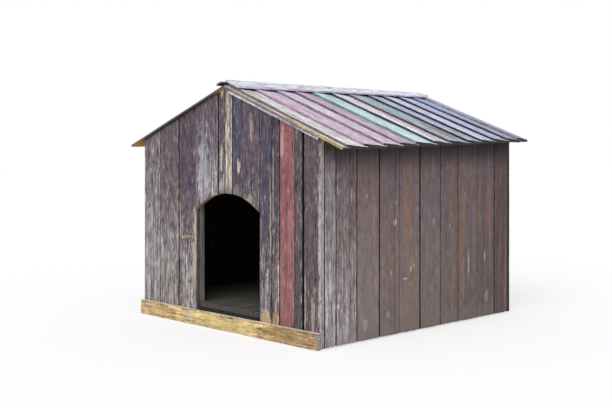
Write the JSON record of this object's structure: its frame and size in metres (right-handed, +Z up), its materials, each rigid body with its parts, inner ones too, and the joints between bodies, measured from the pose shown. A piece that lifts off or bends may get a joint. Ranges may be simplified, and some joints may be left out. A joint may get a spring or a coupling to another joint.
{
  "type": "dog house",
  "caption": "Gable-roofed outdoor dog house of upright nailed boards on a batten frame, with an arched doorway, a sill board and a lapped board roof.",
  "frame": {"origin": "on the ground, under the middle of the walls, on the underside of the middle skid", "axes": "+Z up, -Y out of the doorway, +X to the right of someone who looks at the front"},
  "size_m": [1.4344, 1.453, 1.086],
  "materials": {
    "frame_timber": "weathered",
    "floor_timber": "weathered",
    "grey_brown_board": "weathered",
    "dark_board": "weathered",
    "pale_board": "weathered",
    "slate_blue_board": "weathered",
    "red_board": "weathered",
    "chalk_white_roof": "weathered",
    "peg_wood": "weathered",
    "taupe_board": "weathered",
    "slate_roof_edge": "weathered",
    "grey_lilac_roof": "weathered",
    "lilac_roof": "weathered",
    "mauve_roof": "weathered",
    "mint_roof": "weathered",
    "lichen_board": "weathered"
  },
  "bodies": {
    "root": {"corner_posts": "frame_timber", "door_header": "frame_timber", "door_posts": "frame_timber", "floor_boards": "floor_timber", "floor_joists": "frame_timber", "front_board_01": "grey_brown_board", "front_board_02": "grey_brown_board", "front_board_03": "dark_board", "front_board_04": "grey_brown_board", "front_board_05": "dark_board", "front_board_06": "pale_board", "front_board_07": "slate_blue_board", "front_board_08": "dark_board", "front_board_09": "slate_blue_board", "front_board_10": "slate_blue_board", "front_board_11": "red_board", "front_board_12": "dark_board", "front_board_13": "dark_board", "front_rafters": "frame_timber", "front_rail": "frame_timber", "gable_lath": "chalk_white_roof", "hanging_peg": "peg_wood", "left_boards": "taupe_board", "left_roof_boards": "slate_roof_edge", "left_roof_starter": "slate_roof_edge", "purlins": "frame_timber", "rear_boards": "taupe_board", "rear_rafters": "frame_timber", "rear_rail": "frame_timber", "ridge_beam": "frame_timber", "ridge_cap_board": "grey_lilac_roof", "ridge_lath": "slate_roof_edge", "right_board_01": "taupe_board", "right_board_02": "taupe_board", "right_board_03": "taupe_board", "right_board_04": "taupe_board", "right_board_05": "taupe_board", "right_board_06": "taupe_board", "right_board_07": "taupe_board", "right_board_08": "taupe_board", "right_board_09": "taupe_board", "right_board_10": "taupe_board", "right_roof_board_01": "chalk_white_roof", "right_roof_board_02": "lilac_roof", "right_roof_board_03": "lilac_roof", "right_roof_board_04": "mauve_roof", "right_roof_board_05": "mint_roof", "right_roof_board_06": "chalk_white_roof", "right_roof_board_07": "mint_roof", "right_roof_board_08": "chalk_white_roof", "right_roof_board_09": "chalk_white_roof", "right_roof_board_10": "grey_lilac_roof", "right_roof_board_11": "grey_lilac_roof", "right_roof_board_12": "grey_lilac_roof", "right_roof_starter": "lichen_board", "side_rails": "frame_timber", "sill_board": "lichen_board", "skids": "frame_timber", "wall_plates": "frame_timber"}
  },
  "joints": []
}
